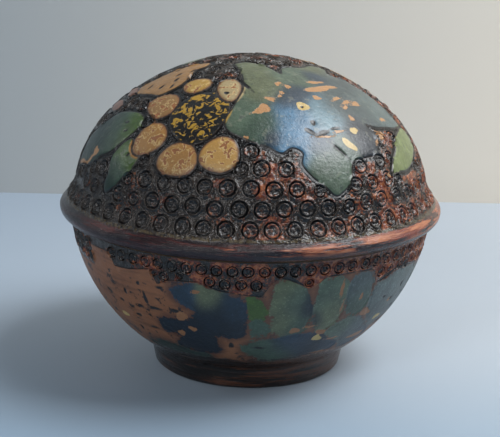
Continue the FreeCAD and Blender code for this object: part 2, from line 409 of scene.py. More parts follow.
PANELS = [
    ([(-24, 65.5), (-20.5, 68), (-14, 67.8), (-9, 66.8), (-4, 65.2), (-1, 63.2), (-1, 56.6), (-1.5, 52.5),
      (-6, 51.2), (-11, 50.6), (-11.5, 43.8), (-19, 42.3), (-27, 43.8), (-25, 48.4), (-31, 52.5),
      (-28, 55), (-21, 55.6), (-17.4, 58), (-17, 61), (-21, 62.6)],
     [(-20, 66, 4, DENIM), (-12, 66, 4, OLIVE), (-8, 58, 7, NAVY), (-20, 48, 7, NAVY),
      (-4, 62, 4, DENIM)]),
    ([(0.5, 65), (3, 65.2), (5.5, 62), (5, 58.8), (2.5, 58), (0.6, 60.5)],
     [(2, 60, 5, MOSS)]),
    ([(1.5, 57), (4, 57.6), (6.6, 55.5), (6.8, 52.6), (3, 52), (1.2, 54)],
     [(3, 55, 5, FERN)]),
    ([(7.4, 65), (9, 70), (12.4, 70.4), (16.5, 67.6), (19.4, 63), (20, 57.5), (18.6, 52.6), (13, 51.4),
      (9.6, 52.6), (7.8, 57.5)],
     [(9, 67, 5, OLIVE), (10, 57, 5, OLIVE), (14, 63, 4, SAGE), (18.4, 62, 3, NAVY), (17, 54, 4, FERN)]),
    ([(21.4, 66), (23, 69.6), (28, 70.2), (31.4, 67.5), (32, 62), (31, 56), (27, 52.4), (23.4, 54),
      (21.6, 60)],
     [(25, 66, 6, SAGE), (27, 58, 5, OLIVE), (22.5, 57, 3, NAVY)]),
    ([(32.6, 68.5), (36, 70.2), (40, 69.6), (42, 65), (41.6, 60.5), (39, 57), (35, 57.4), (32.6, 61.5)],
     [(36, 66, 5, SLATE), (37, 60, 5, FERN)]),
    ([(43, 64), (45, 66.2), (52, 68), (60, 67.6), (68, 66.4), (73, 64), (72, 57), (66, 51), (59, 49.5),
      (52, 50), (47, 53), (43.6, 58)],
     [(49, 64, 6, MIST), (60, 62, 7, MIST), (50, 55, 5, SLATE), (62, 54, 6, SLATE)]),
    ([(-1, 45), (1, 48.2), (6, 49), (13, 50.6), (20, 51.4), (27, 50.4), (31, 47), (37, 44.6), (36, 41.4),
      (28, 40.4), (20, 38.8), (10, 38.4), (3, 40.4)],
     [(4, 44, 5, FERN), (18, 48, 6, DENIM), (12, 41, 5, FERN), (26, 45, 5, NAVY), (33, 44, 4, DENIM)]),
    ([(29, 51.6), (34, 54.6), (41, 54.6), (47, 50.6), (54, 45.4), (49, 41.4), (43, 41.6), (38, 46.2),
      (33, 49)],
     [(35, 52, 4, SAGE), (44, 49, 6, SLATE), (50, 44, 5, DENIM)]),
    ([(-45, 41), (-37, 43.6), (-29, 43), (-23, 41), (-16, 40.4), (-20, 36.6), (-30, 35.4), (-40, 37)],
     [(-30, 40, 9, TEAL)]),
]
PANEL_CHIPS = [
    (43.5, 56.3, 2.0, 1.4), (16, 53.5, 1.3, 1.3), (21, 54.6, 2.6, 0.4), (26.5, 51.6, 1.5, 1.2),
    (33.5, 47.5, 2.6, 0.4), (48, 45.5, 4.0, 1.0), (32, 40.5, 3.2, 0.5), (-16, 66.4, 1.4, 0.7),
    (-22, 57.5, 2.0, 1.6), (-19, 53, 1.2, 1.0), (-24, 50.5, 1.0, 1.4), (29.4, 66.6, 0.7, 2.8),
    (31.2, 60.5, 0.4, 2.8), (38, 63, 0.5, 1.6), (56, 58, 1.6, 0.6),
]
PANEL_CREAM = [(26, 49.1, 1.5, 1.3), (-50, 52, 1.5, 1.1)]
PANEL_NICKS = [
    (-34.5, 61.5, 0.6, 2.4), (-32, 58.4, 2.4, 0.6), (-38, 58, 1.2, 0.5), (-24, 59, 1.2, 0.6),
    (-43, 62, 0.5, 1.2), (-41, 54, 1.4, 0.5), (-47, 58, 0.9, 0.5), (-36, 50, 1.3, 0.5), (-44, 48, 0.6, 1.0),
    (-53, 60, 1.0, 0.5), (-28, 66, 1.4, 0.5), (-36, 66, 0.8, 0.5), (4, 46, 2.0, 0.5), (-6, 47, 0.6, 1.6),
]
HEM = [
    (-57, 73.1), (-47, 73.1), (-45, 69.3), (-39, 69.6), (-30.5, 71.1), (-28.5, 67), (-24, 68.8),
    (-15, 69.3), (-9, 67.3), (-1, 66.2), (4, 65.7), (6, 68.8), (9, 71.3), (12, 70.6), (17, 68.5), (19, 68),
    (22, 69.8), (23, 70.8), (33, 71.1), (40, 70.8), (43, 66.2), (48, 66.5), (51, 68.5), (73, 66.8),
]
PANEL_TURN = 104
PANEL_SETS = 3


def dabbed(flat, dabs):
    """Colours laid on in soft dabs, each (x, y, reach, colour)."""
    weight = np.zeros(len(flat))
    colour = np.zeros((len(flat), 3))
    for x, y, reach, paint in dabs:
        gap = np.hypot(flat[:, 0] - x, flat[:, 1] - y) / reach
        share = np.exp(-2.2 * gap ** 2) + 1e-6 / (1 + gap ** 2)
        weight += share
        colour += share[:, None] * np.array(paint)
    return colour / weight[:, None]


class Shape:
    """One painted shape: its kind, its outline, and its colour or the dabs that make it."""

    def __init__(self, kind, ring, paint, turn=0):
        self.kind = kind
        self.ring = turned_about(np.array(ring, float), turn)
        self.turn = turn
        self.paint = paint

    def colour(self, flat):
        if isinstance(self.paint, tuple):
            return np.tile(self.paint, (len(flat), 1))
        return dabbed(turned_about(flat, -self.turn), self.paint)


def small_shapes(kind, spots, wobble, turn):
    """Small ovals of one kind, such as chips in the paint."""
    return [Shape(kind, oval(*spot, wobble=wobble, seed=k), CREAM, turn) for k, spot in enumerate(spots)]


def lid_shapes():
    """Flower sprays on the front and the back of the lid."""
    shapes = []
    for turn in (0, 180):
        shapes += [
            Shape("leaf", closed_curve(RIGHT_LEAF), SPRAY_DABS, turn),
            Shape("leaf", closed_curve(LEFT_LEAF), LEAF_DABS, turn),
            Shape("leaf", closed_curve(LEFT_LOBE), LEAF_DABS, turn),
            Shape("leaf", closed_curve(FAR_LEAF), LIME, turn),
            Shape("bud", closed_curve(BUD), TAN, turn),
        ]
        shapes += [Shape("bud", oval(*spot, seed=k + 9), PINK, turn) for k, spot in enumerate(SIDE_PETALS)]
        shapes.append(Shape("heart", oval(*HEART), OCHRE, turn))
        shapes += [Shape("petal", oval(*spot[:5], seed=k), spot[5], turn) for k, spot in enumerate(PETALS)]
        shapes += small_shapes("chip", SPRAY_CHIPS, 0.2, turn)
        shapes += small_shapes("gold", SPRAY_GOLD, 0.12, turn)
        shapes += small_shapes("nick", SPRAY_NICKS, 0.1, turn)
    return shapes


def on_wall(points, start):
    """Places given as (degrees round, distance up the wall), on the flat sheet."""
    turn, along = np.radians([p[0] for p in points]), np.array([p[1] + start for p in points])
    return np.column_stack([along * np.sin(turn), -along * np.cos(turn)])


def bowl_shapes(start):
    """Leaf panels round the bowl; start is how far out on the sheet the wall's distance is 0."""
    shapes = []
    for turn in np.arange(PANEL_SETS) * PANEL_TURN:
        for points, dabs in PANELS:
            spots = on_wall([dab[:2] for dab in dabs], start)
            laid = [(*spot, dab[2] * 1.3, dab[3]) for spot, dab in zip(spots, dabs)]
            shapes.append(Shape("leaf", closed_curve(on_wall(points, start)), laid, turn))
        for kind, spots in (("chip", PANEL_CHIPS), ("gold", PANEL_CREAM), ("nick", PANEL_NICKS)):
            laid = [(*on_wall([(degrees, along)], start)[0], long * 1.3, short, degrees)
                    for degrees, along, long, short in spots]
            shapes += small_shapes(kind, laid, 0.15, turn)
    return shapes


def hem_at(degrees):
    """Lower edge of the punched band, up the wall, at an angle round from the front."""
    degrees = (np.asarray(degrees) + 57) % 360 - 57
    panel = np.floor((degrees + 31) / PANEL_TURN)
    local = np.where(panel > 0, degrees - PANEL_TURN * np.minimum(panel, PANEL_SETS - 1), degrees)
    return np.interp(local, *zip(*HEM))


class Layout:
    """What lies where on one sheet; ground gives how far inside the punched ground a place is."""

    KINDS = ("leaf", "bud", "heart", "petal", "chip", "gold", "nick")
    SMALL = ("chip", "gold", "nick")

    def __init__(self, shapes, ground):
        self.shapes = shapes
        self.ground = ground

    def read(self, flat):
        """How far inside each kind each place lies, how near a drawn line, and its paint."""
        deep_in = {kind: np.full(len(flat), -5.0) for kind in self.KINDS}
        line = np.full(len(flat), 5.0)
        paint = np.zeros((len(flat), 3))
        painted = np.full(len(flat), -5.0)
        for shape in self.shapes:
            deep = inside_by(flat, shape.ring)
            if shape.kind not in self.SMALL:
                line = np.where(deep > 0.5, np.abs(deep), np.minimum(line, np.abs(deep)))
                over = (deep > -0.7) | (deep > painted)
                paint[over] = shape.colour(flat[over])
                painted = np.maximum(painted, deep)
                for kind in self.KINDS[1:4]:
                    deep_in[kind] = np.minimum(deep_in[kind], np.maximum(-deep, -5))
            deep_in[shape.kind] = np.maximum(deep_in[shape.kind], deep)
        fields = dict(deep_in, painted=painted, line=line, burnt=self.ground(flat, painted))
        return fields, paint


def lid_ground(flat, painted):
    """The lid is punched wherever nothing is painted."""
    return -painted


def bowl_ground(start):
    """The bowl is punched above its hem."""
    def ground(flat, painted):
        degrees = np.degrees(np.arctan2(flat[:, 0], -flat[:, 1]))
        return np.clip(np.hypot(flat[:, 0], flat[:, 1]) - start - hem_at(degrees), -5, 4)
    return ground


# Ring punching

class Striking:
    """Places of the punch marks on one sheet."""

    def __init__(self, turning, layout):
        self.turning = turning
        self.layout = layout
        self.rings = [shape.ring for shape in layout.shapes if shape.kind not in layout.SMALL]
        self.spots = []
        self.struck = np.zeros((0, 4))

    def strike(self, along, turn, size, least):
        """Strikes a mark at each place inside the ground, as large as earlier marks leave room for."""
        flat = np.column_stack([along * np.sin(turn), -along * np.cos(turn)])
        painted = np.max([inside_by(flat, ring) for ring in self.rings], axis=0)
        inside = self.layout.ground(flat, painted) - EDGE_ROOM
        radius, height = self.turning.at(along)
        solid = np.column_stack([radius * np.sin(turn), -radius * np.cos(turn), height])
        for k in np.flatnonzero(inside > least / 2):
            room = min(size[k], 2 * inside[k])
            if len(self.struck):
                gap = np.linalg.norm(self.struck[:, :3] - solid[k], axis=1) - self.struck[:, 3]
                room = min(room, (gap.min() - MARK_GAP) / MARK)
            if room > least:
                self.struck = np.vstack([self.struck, [*solid[k], MARK * room]])
                self.spots.append((*flat[k], turn[k], room, max(along[k] / max(radius[k], 0.1), 1)))

    def rows(self, first, last, size):
        """Even rows of marks, each row half a step round from the one before."""
        for row, along in enumerate(np.arange(first, last, -MARK_ROW * size)):
            count = round(2 * math.pi * float(self.turning.at(along)[0]) / (MARK_STEP * size))
            turn = (np.arange(count) + row / 2 + rng.uniform(-0.05, 0.05, count)) * 2 * math.pi / count
            sway = rng.uniform(-0.3, 0.3, count) * (row > 0)
            self.strike(along + sway, turn, size * rng.uniform(0.93, 1.0, count), 0.8 * size)

    def scatter(self, low, high, size, tries=9000):
        """Marks in what room is left, smaller ones last."""
        for share in (0.9, 0.74, 0.6):
            along = np.sqrt(rng.uniform(low ** 2, high ** 2, tries))
            turn = rng.uniform(-math.pi, math.pi, tries)
            self.strike(along, turn, np.full(tries, size), size * share)


def rim_of(spot):
    """Outline of one mark on the flat sheet."""
    x, y, turn, size, stretch = spot
    steps = np.arange(SIDES) * 2 * math.pi / SIDES
    wide, tall = MARK * size * stretch * np.cos(steps), MARK * size * np.sin(steps)
    c, s = math.cos(turn), math.sin(turn)
    return np.column_stack([x + wide * c - tall * s, y + wide * s + tall * c])


def mark_variants():
    """The punch's mark in a few turns and leans: a ring round a mound with three small pits."""
    marks = bpy.data.collections.new("ring_marks")
    steps = np.arange(SIDES) * 2 * math.pi / SIDES
    for k in range(MARK_VARIANTS):
        spin = math.radians(120 * k / MARK_VARIANTS + rng.uniform(-8, 8))
        lean = rng.uniform(0, 2 * math.pi)
        points = []
        for radius, height in MARK_PROFILE:
            for step in steps:
                x, y = radius * math.cos(step), radius * math.sin(step)
                points.append((x, y, height * (1 + 0.3 * math.cos(step - lean))))
        for pit in range(3):
            way = spin + pit * 2 * math.pi / 3
            x, y = 0.31 * math.cos(way), 0.31 * math.sin(way)
            points.append((x, y, -0.85 if pit == 0 else -0.65))
            for step in range(5):
                turn = way + step * 2 * math.pi / 5
                points.append((x + 0.16 * math.cos(turn), y + 0.16 * math.sin(turn), -0.26))
        points.append((0, 0, -0.12))
        faces = geometry.delaunay_2d_cdt([Vector(p[:2]) for p in points], [], [], 0, 1e-6)[2]
        mesh = bpy.data.meshes.new(f"ring_mark_{k}")
        mesh.from_pydata([(x * MARK, y * MARK, z) for x, y, z in points], [], faces)
        marks.objects.link(bpy.data.objects.new(mesh.name, mesh))
    return marks


# Flat sheets

def flat_ring(along):
    """Even places round the sheet at one distance from its middle."""
    turn = np.arange(SEGMENTS) * 2 * math.pi / SEGMENTS
    return np.column_stack([along * np.sin(turn), -along * np.cos(turn)])


def even_steps(ring, step=0.6):
    """A ring's outline in even steps."""
    loop = np.vstack([ring, ring[:1]])
    along = np.concatenate([[0], np.cumsum(np.hypot(*np.diff(loop, axis=0).T))])
    places = np.linspace(0, along[-1], max(int(along[-1] / step), 8), endpoint=False)
    return np.column_stack([np.interp(places, along, part) for part in loop.T])


def scatter_fill(low, high):
    """Even scatter of places between two distances from the middle, slightly shaken."""
    x, y = np.meshgrid(np.arange(-high, high, GRID), np.arange(-high, high, GRID * math.sqrt(3) / 2))
    x[1::2] += GRID / 2
    shake = np.random.default_rng(5).uniform(-0.12, 0.12, (x.size, 2))
    fill = np.column_stack([x.ravel(), y.ravel()]) + shake
    far = np.hypot(*fill.T)
    return fill[(far > low) & (far < high)]


def clear_of(fill, outline, room):
    """The places of a scatter that aren't crowded by the points of an outline."""
    cells = {tuple(cell) for cell in np.floor(outline / room).astype(int)}
    cells |= {(a + i, b + j) for a, b in cells for i, j in ((1, 0), (-1, 0), (0, 1), (0, -1))}
    free = [tuple(cell) not in cells for cell in np.floor(fill / room).astype(int)]
    return fill[np.array(free)]


def struck_sheet(layout, spots, low, high):
    """Flat sheet with a hole for every mark, as places and triangles."""
    loops = [rim_of(spot) for spot in spots] + [flat_ring(high)] + ([flat_ring(low)] if low else [])
    outline = []
    for shape in layout.shapes:
        outline.append(even_steps(shape.ring))
        if shape.kind in layout.SMALL:
            middle = shape.ring.mean(0)
            outline.append(even_steps(middle + 0.4 * (shape.ring - middle), 0.45))
        else:
            outline += [even_steps(beside(shape.ring, gap * CHANNEL)) for gap in (1, 2.1)]
    outline = np.vstack(outline)
    inner = low + 0.4 if low else -1
    outline = outline[(np.hypot(*outline.T) > inner) & (np.hypot(*outline.T) < high - 0.4)]
    loose = np.vstack([outline, clear_of(scatter_fill(inner, high - 0.4), outline, 0.36)])
    keep = np.ones(len(loose), bool)
    for x, y, turn, size, stretch in spots:
        gap = turned_about(loose - (x, y), -math.degrees(turn))
        wide, tall = MARK * size * stretch + RIM_ROOM, MARK * size + RIM_ROOM
        keep &= np.hypot(gap[:, 0] / wide, gap[:, 1] / tall) > 1
    places = np.vstack(loops + [loose[keep]])
    owner = np.full(len(places), -1)
    owner[: len(spots) * SIDES] = np.repeat(np.arange(len(spots)), SIDES)
    edges, start = [], 0
    for loop in loops:
        edges += [(start + k, start + (k + 1) % len(loop)) for k in range(len(loop))]
        start += len(loop)
    found, _, faces, sources, _, _ = geometry.delaunay_2d_cdt([Vector(p) for p in places], edges, [], 0, 1e-5)
    owner = np.array([owner[min(source)] if source else -1 for source in sources])
    found, faces = np.array(found), np.array(faces)
    marked = owner[faces]
    hole = (marked[:, 0] >= 0) & (marked == marked[:, :1]).all(1)
    far = np.hypot(*found[faces].mean(1).T)
    return found, faces[~hole & (far < high) & (far > low)]


def lathe_sheet(rows, middle=None):
    """Flat sheet of even rows; middle is 0 or -1 where the first or last row closes to a point."""
    places = np.vstack([flat_ring(along) for along in rows])
    k = np.arange(SEGMENTS)
    n = (k + 1) % SEGMENTS
    faces = []
    for row in range(len(rows) - 1):
        a, b = row * SEGMENTS, (row + 1) * SEGMENTS
        faces += np.column_stack([a + k, b + k, b + n, a + n]).tolist()
    if middle is not None:
        pole = len(places)
        places = np.vstack([places, [(0, -middle)]])
        if middle:
            faces += np.column_stack([b + k, np.full(SEGMENTS, pole), b + n]).tolist()
        else:
            faces += np.column_stack([np.full(SEGMENTS, pole), k, n]).tolist()
    return places, faces


def flat_mesh(name, *sheets):
    """One flat mesh from several sheets, in millimetres."""
    places, faces, start = [], [], 0
    for sheet_places, sheet_faces in sheets:
        places.append(sheet_places)
        faces += [tuple(int(i) + start for i in face) for face in sheet_faces]
        start += len(sheet_places)
    places = np.vstack(places)
    mesh = bpy.data.meshes.new(name)
    mesh.from_pydata(np.column_stack([places, np.zeros(len(places))]).tolist(), [], faces)
    return mesh


class Tree:
    """A node tree, with one way to add any node."""

    def __init__(self, tree):
        self.tree = tree

    def node(self, kind, settings=None, **inputs):
        """Adds a node: its settings first, then values or links for its sockets."""
        node = self.tree.nodes.new(kind)
        for name, value in (settings or {}).items():
            setattr(node, name, value)
        for name, value in inputs.items():
            name = name.replace("_", " ")
            self.feed(node.inputs[int(name[1:]) if name[1:].isdigit() else name], value)
        return node

    def feed(self, socket, value):
        """Gives a socket a value, or a link from another node's socket."""
        if isinstance(value, bpy.types.NodeSocket):
            self.tree.links.new(value, socket)
        elif isinstance(value, Wire):
            self.tree.links.new(value.socket, socket)
        elif socket.type == "RGBA" and len(value) == 3:
            socket.default_value = (*value, 1)
        else:
            socket.default_value = value


class Wire:
    """What a node gives out; sums written with it add their nodes."""

    def __init__(self, finish, socket):
        self.finish = finish
        self.socket = socket

    def __add__(self, other):
        return self.finish.math("ADD", self, other)

    def __sub__(self, other):
        return self.finish.math("SUBTRACT", self, other)

    def __rsub__(self, other):
        return self.finish.math("SUBTRACT", other, self)

    def __mul__(self, other):
        return self.finish.math("MULTIPLY", self, other)

    def __abs__(self):
        return self.finish.math("ABSOLUTE", self)

    __radd__ = __add__
    __rmul__ = __mul__


def punching_tree():
    """Geometry nodes that strike the marks into a sheet, weld them in and shake the surface."""
    group = bpy.data.node_groups.new("ring_punching", "GeometryNodeTree")
    face = group.interface
    sockets = {}
    for name, kind in (("Sheet", "Geometry"), ("Spots", "Object"), ("Marks", "Collection"), ("Weld", "Float"),
                       ("Unevenness", "Float"), ("Grain size", "Float"), ("Finish", "Material")):
        sockets[name] = face.new_socket(name, in_out="INPUT", socket_type="NodeSocket" + kind).identifier
    face.new_socket("Sheet", in_out="OUTPUT", socket_type="NodeSocketGeometry")
    tree = Tree(group)
    given = group.nodes.new("NodeGroupInput").outputs
    out = group.nodes.new("NodeGroupOutput")
    spots = tree.node("GeometryNodeObjectInfo", Object=given["Spots"])
    marks = tree.node(
        "GeometryNodeCollectionInfo", Collection=given["Marks"], Separate_Children=True, Reset_Children=True,
    )

    def named(name, kind):
        reader = tree.node("GeometryNodeInputNamedAttribute", {"data_type": kind}, Name=name)
        return reader.outputs["Attribute"]

    struck = tree.node(
        "GeometryNodeInstanceOnPoints", Points=spots.outputs["Geometry"], Instance=marks.outputs[0],
        Pick_Instance=True, Instance_Index=named("variant", "INT"), Rotation=named("turning", "FLOAT_VECTOR"),
        Scale=named("stretch", "FLOAT_VECTOR"),
    )
    joined = tree.node("GeometryNodeJoinGeometry")
    group.links.new(given["Sheet"], joined.inputs[0])
    group.links.new(struck.outputs[0], joined.inputs[0])
    real = tree.node("GeometryNodeRealizeInstances", Geometry=joined.outputs[0])
    welded = tree.node("GeometryNodeMergeByDistance", Geometry=real.outputs[0], Distance=given["Weld"])
    grain = tree.node("ShaderNodeTexNoise", Scale=given["Grain size"], Detail=3.0, Roughness=0.6)
    low = tree.node("ShaderNodeMath", {"operation": "MULTIPLY"}, _0=grain.outputs[0], _1=given["Unevenness"])
    shift = tree.node("ShaderNodeCombineXYZ", Z=low.outputs[0])
    moved = tree.node("GeometryNodeSetPosition", Geometry=welded.outputs[0], Offset=shift.outputs[0])
    smooth = tree.node("GeometryNodeSetShadeSmooth", Geometry=moved.outputs[0])
    finished = tree.node("GeometryNodeSetMaterial", Geometry=smooth.outputs[0], Material=given["Finish"])
    group.links.new(finished.outputs[0], out.inputs[0])
    return group, sockets


def spots_object(spots):
    """The places of the marks, each with its turn, its stretch and which variant it takes."""
    mesh = bpy.data.meshes.new("mark_spots")
    mesh.from_pydata([(spot[0], spot[1], 0) for spot in spots], [], [])
    depths = [rng.uniform(0.8, 1.15) for _ in spots]
    turning = [(0, 0, spot[2]) for spot in spots]
    stretch = [(size * wide, size, depth) for (_, _, _, size, wide), depth in zip(spots, depths)]
    variant = rng.integers(0, MARK_VARIANTS, len(spots))
    mesh.attributes.new("turning", "FLOAT_VECTOR", "POINT").data.foreach_set("vector", np.ravel(turning))
    mesh.attributes.new("stretch", "FLOAT_VECTOR", "POINT").data.foreach_set("vector", np.ravel(stretch))
    mesh.attributes.new("variant", "INT", "POINT").data.foreach_set("value", variant)
    made = bpy.data.objects.new("mark_spots", mesh)
    bpy.context.scene.collection.objects.link(made)
    return made


def punched(mesh, spots, marks, punching, finish):
    """The flat mesh with its marks struck in, as a plain mesh."""
    group, sockets = punching
    sheet = bpy.data.objects.new("sheet", mesh)
    bpy.context.scene.collection.objects.link(sheet)
    places = spots_object(spots)
    press = sheet.modifiers.new("punching", "NODES")
    press.node_group = group
    values = {"Spots": places, "Marks": marks, "Finish": finish, "Weld": WELD, "Unevenness": -GRAIN_DEPTH,
              "Grain size": GRAIN_SIZE}
    for name, value in values.items():
        press[sockets[name]] = value
    done = bpy.data.meshes.new_from_object(sheet.evaluated_get(bpy.context.evaluated_depsgraph_get()))
    sheet.modifiers.remove(press)
    for helper in (sheet, places):
        bpy.data.objects.remove(helper)
    return done


def dress(name, mesh, turning, layout, outer, start, finishes):
    """Reads the layout on to the flat mesh, wraps it on to its turned form, and makes the piece."""
    flat = np.zeros(len(mesh.vertices) * 3)
    mesh.vertices.foreach_get("co", flat)
    flat = flat.reshape(-1, 3)
    along = np.hypot(flat[:, 0], flat[:, 1])
    on_outside = along < outer
    fields, paint = layout.read(flat[on_outside, :2])
    flat[~on_outside, 2] = 0
    burnt = np.clip(fields["burnt"] / CHANNEL, 0, 1)
    sunk = CHANNEL_DEPTH * burnt * np.clip(1.15 - np.abs(fields["painted"] + CHANNEL) / 0.6, 0, 1)
    sunk += LINE_DEPTH * np.clip(1 - fields["line"] / 0.5, 0, 1) + GROUND_DEPTH * burnt
    sunk += PETAL_DROP * (fields["petal"] > 0) * np.clip(1 - fields["petal"] / PETAL_ROUND, 0, 1)
    sunk += NICK_DEPTH * np.clip(fields["nick"] / 0.3 + 0.3, 0, 1)
    sunk += HEART_DEPTH * np.clip(fields["heart"] / 0.6, 0, 1)
    flat[on_outside, 2] = np.minimum(flat[on_outside, 2] - sunk, along[on_outside] ** 2 / CROWN_EASE)
    flat[:, 2] *= np.clip((outer - along) / 1.0, 0, 1)
    fields["relief"] = flat[on_outside, 2]
    fields["along"] = along[on_outside] - start
    for field, values in fields.items():
        whole = np.zeros(len(flat))
        whole[on_outside] = values
        mesh.attributes.new(field, "FLOAT", "POINT").data.foreach_set("value", whole)
    colours = np.ones((len(flat), 4))
    colours[on_outside, :3] = paint
    mesh.attributes.new("paint", "FLOAT_COLOR", "POINT").data.foreach_set("color", colours.ravel())
    mesh.vertices.foreach_set("co", (turning.wrap(flat) * MM).ravel())
    mesh.materials.clear()
    for finish in finishes:
        mesh.materials.append(finish)
    inner = np.array([all(along[i] >= outer - 1e-6 for i in face.vertices) for face in mesh.polygons])
    mesh.polygons.foreach_set("material_index", inner.astype(int))
    if turning.side < 0:
        mesh.flip_normals()
    mesh.update()
    piece = bpy.data.objects.new(name, mesh)
    bpy.context.scene.collection.objects.link(piece)
    return piece


# Finishes

class Finish:
    """A material built up from nodes."""

    def __init__(self, name):
        self.material = bpy.data.materials.new(name)
        self.material.use_nodes = True
        self.material.node_tree.nodes.clear()
        self.tree = Tree(self.material.node_tree)

    def give(self, kind, settings=None, output=0, **inputs):
        return Wire(self, self.tree.node("ShaderNode" + kind, settings, **inputs).outputs[output])

    def math(self, operation, first, second=0.0):
        return self.give("Math", {"operation": operation}, _0=first, _1=second)

    def step(self, value, low, high):
        """0 below low and 1 above high, eased between."""
        settings = {"interpolation_type": "SMOOTHSTEP"}
        return self.give("MapRange", settings, Value=value, From_Min=low, From_Max=high)

    def mix(self, share, first, second):
        return self.give("Mix", {"data_type": "RGBA"}, 2, _0=share, _6=first, _7=second)

    def shade(self, colour, amount):
        """A colour made lighter or darker."""
        return self.give("VectorMath", {"operation": "SCALE"}, Vector=colour, Scale=amount)

    def field(self, name):
        return self.give("Attribute", {"attribute_name": name}, "Fac")

    def place(self):
        """Places on the object, in millimetres."""
        return self.shade(self.give("TexCoord", None, "Object"), 1000.0)

    def split(self, place):
        """The three parts of a place."""
        parts = self.tree.node("ShaderNodeSeparateXYZ", None, Vector=place).outputs
        return [Wire(self, part) for part in parts]

    def noise(self, place, size, detail=3.0, roughness=0.55, distortion=0.0):
        """Noise whose features are about size millimetres across."""
        return self.give("TexNoise", None, Vector=place, Scale=1 / size, Detail=detail, Roughness=roughness,
                         Distortion=distortion)

    def close(self, colour, roughness, height, shine=0.5):
        """Ends the material in its shader, with height in millimetres as a bump."""
        bump = self.tree.node("ShaderNodeBump", None, Distance=MM, Height=height)
        shader = self.tree.node("ShaderNodeBsdfPrincipled", None, Base_Color=colour, Roughness=roughness,
                                Specular_IOR_Level=shine, Normal=bump.outputs[0])
        self.tree.node("ShaderNodeOutputMaterial", None, Surface=shader.outputs[0])
        return self.material


# Burnt black, and painted shade where it deepens down into the marks
CHAR_AND_SHADE = srgb(17, 13, 13)
SOOT = srgb(46, 37, 29)
RUST = srgb(100, 42, 26)
ORANGE = srgb(158, 90, 52)


def streaks(finish, place, along, coarse=0.7):
    """Places squeezed along the turning's direction, so that noise on them runs in streaks."""
    x, y, z = finish.split(place)
    return finish.give("CombineXYZ", None, X=x * 0.07, Y=y * 0.07, Z=along * coarse)


def charred(finish, place, relief, grit, wear):
    """Burnt ground: black in the marks, and worn to reddish wood along the ridges; more ridges turn reddish
    towards +x, the lit side, which is painted light.
    """
    across = finish.split(place)[0]
    blotch = finish.noise(place, 6, 3)
    # Burnt colour that darkens with the marks' depth: real burning, with painted shade in the hollows
    char = finish.mix(finish.step(relief + (grit - 0.5) * 0.4, -0.7, 0.0), CHAR_AND_SHADE, SOOT)
    high = finish.step(relief, -0.6, -0.25)
    # Real wear on the ridges; its share growing with x towards the lit side is painted light
    worn = high * finish.step(blotch + grit * 0.7 + across * 0.003, 0.96 - wear, 1.16 - wear)
    ridge = finish.mix(finish.step(finish.noise(place, 1.1, 2), 0.4, 0.66), RUST, ORANGE)
    return finish.mix(worn, char, ridge)


def small_marks(finish, colour, bare, grit, speck):
    """Adds chips down to bare wood, dabs of pale gold, and dark nicks."""
    chipped = finish.step(finish.field("chip") + (speck - 0.5) * 0.7, -0.05, 0.12)
    colour = finish.mix(chipped, colour, bare)
    gold = finish.step(finish.field("gold") + (speck - 0.5) * 0.5, -0.05, 0.12)
    colour = finish.mix(gold, colour, finish.mix(speck, srgb(160, 128, 66), srgb(206, 182, 120)))
    nick = finish.step(finish.field("nick") + (grit - 0.5) * 0.3, -0.12, 0.1)
    return finish.mix(nick, colour, srgb(26, 24, 26)), chipped


def channel(finish, colour, burnt, painted, grit):
    """Adds the black channel burnt round painted ground."""
    edge = finish.step(burnt, 0.0, 0.2) - finish.step(abs(painted + CHANNEL) + (grit - 0.5) * 0.5, 0.45, 0.75)
    return finish.mix(edge, colour, srgb(16, 13, 13))


def started(name):
    """A painted finish with its places, its paint and the noises that break it up."""
    finish = Finish(name)
    place = finish.place()
    paint = finish.give("Attribute", {"attribute_name": "paint"}, "Color")
    blotch = finish.noise(place, 4.5, 4, 0.6)
    grit = finish.noise(place, 0.9, 4, 0.6)
    speck = finish.noise(place, 0.42, 2)
    lumps = finish.noise(place, 1.5, 3, 0.6)
    return finish, place, finish.split(place)[0], paint, blotch, grit, speck, lumps


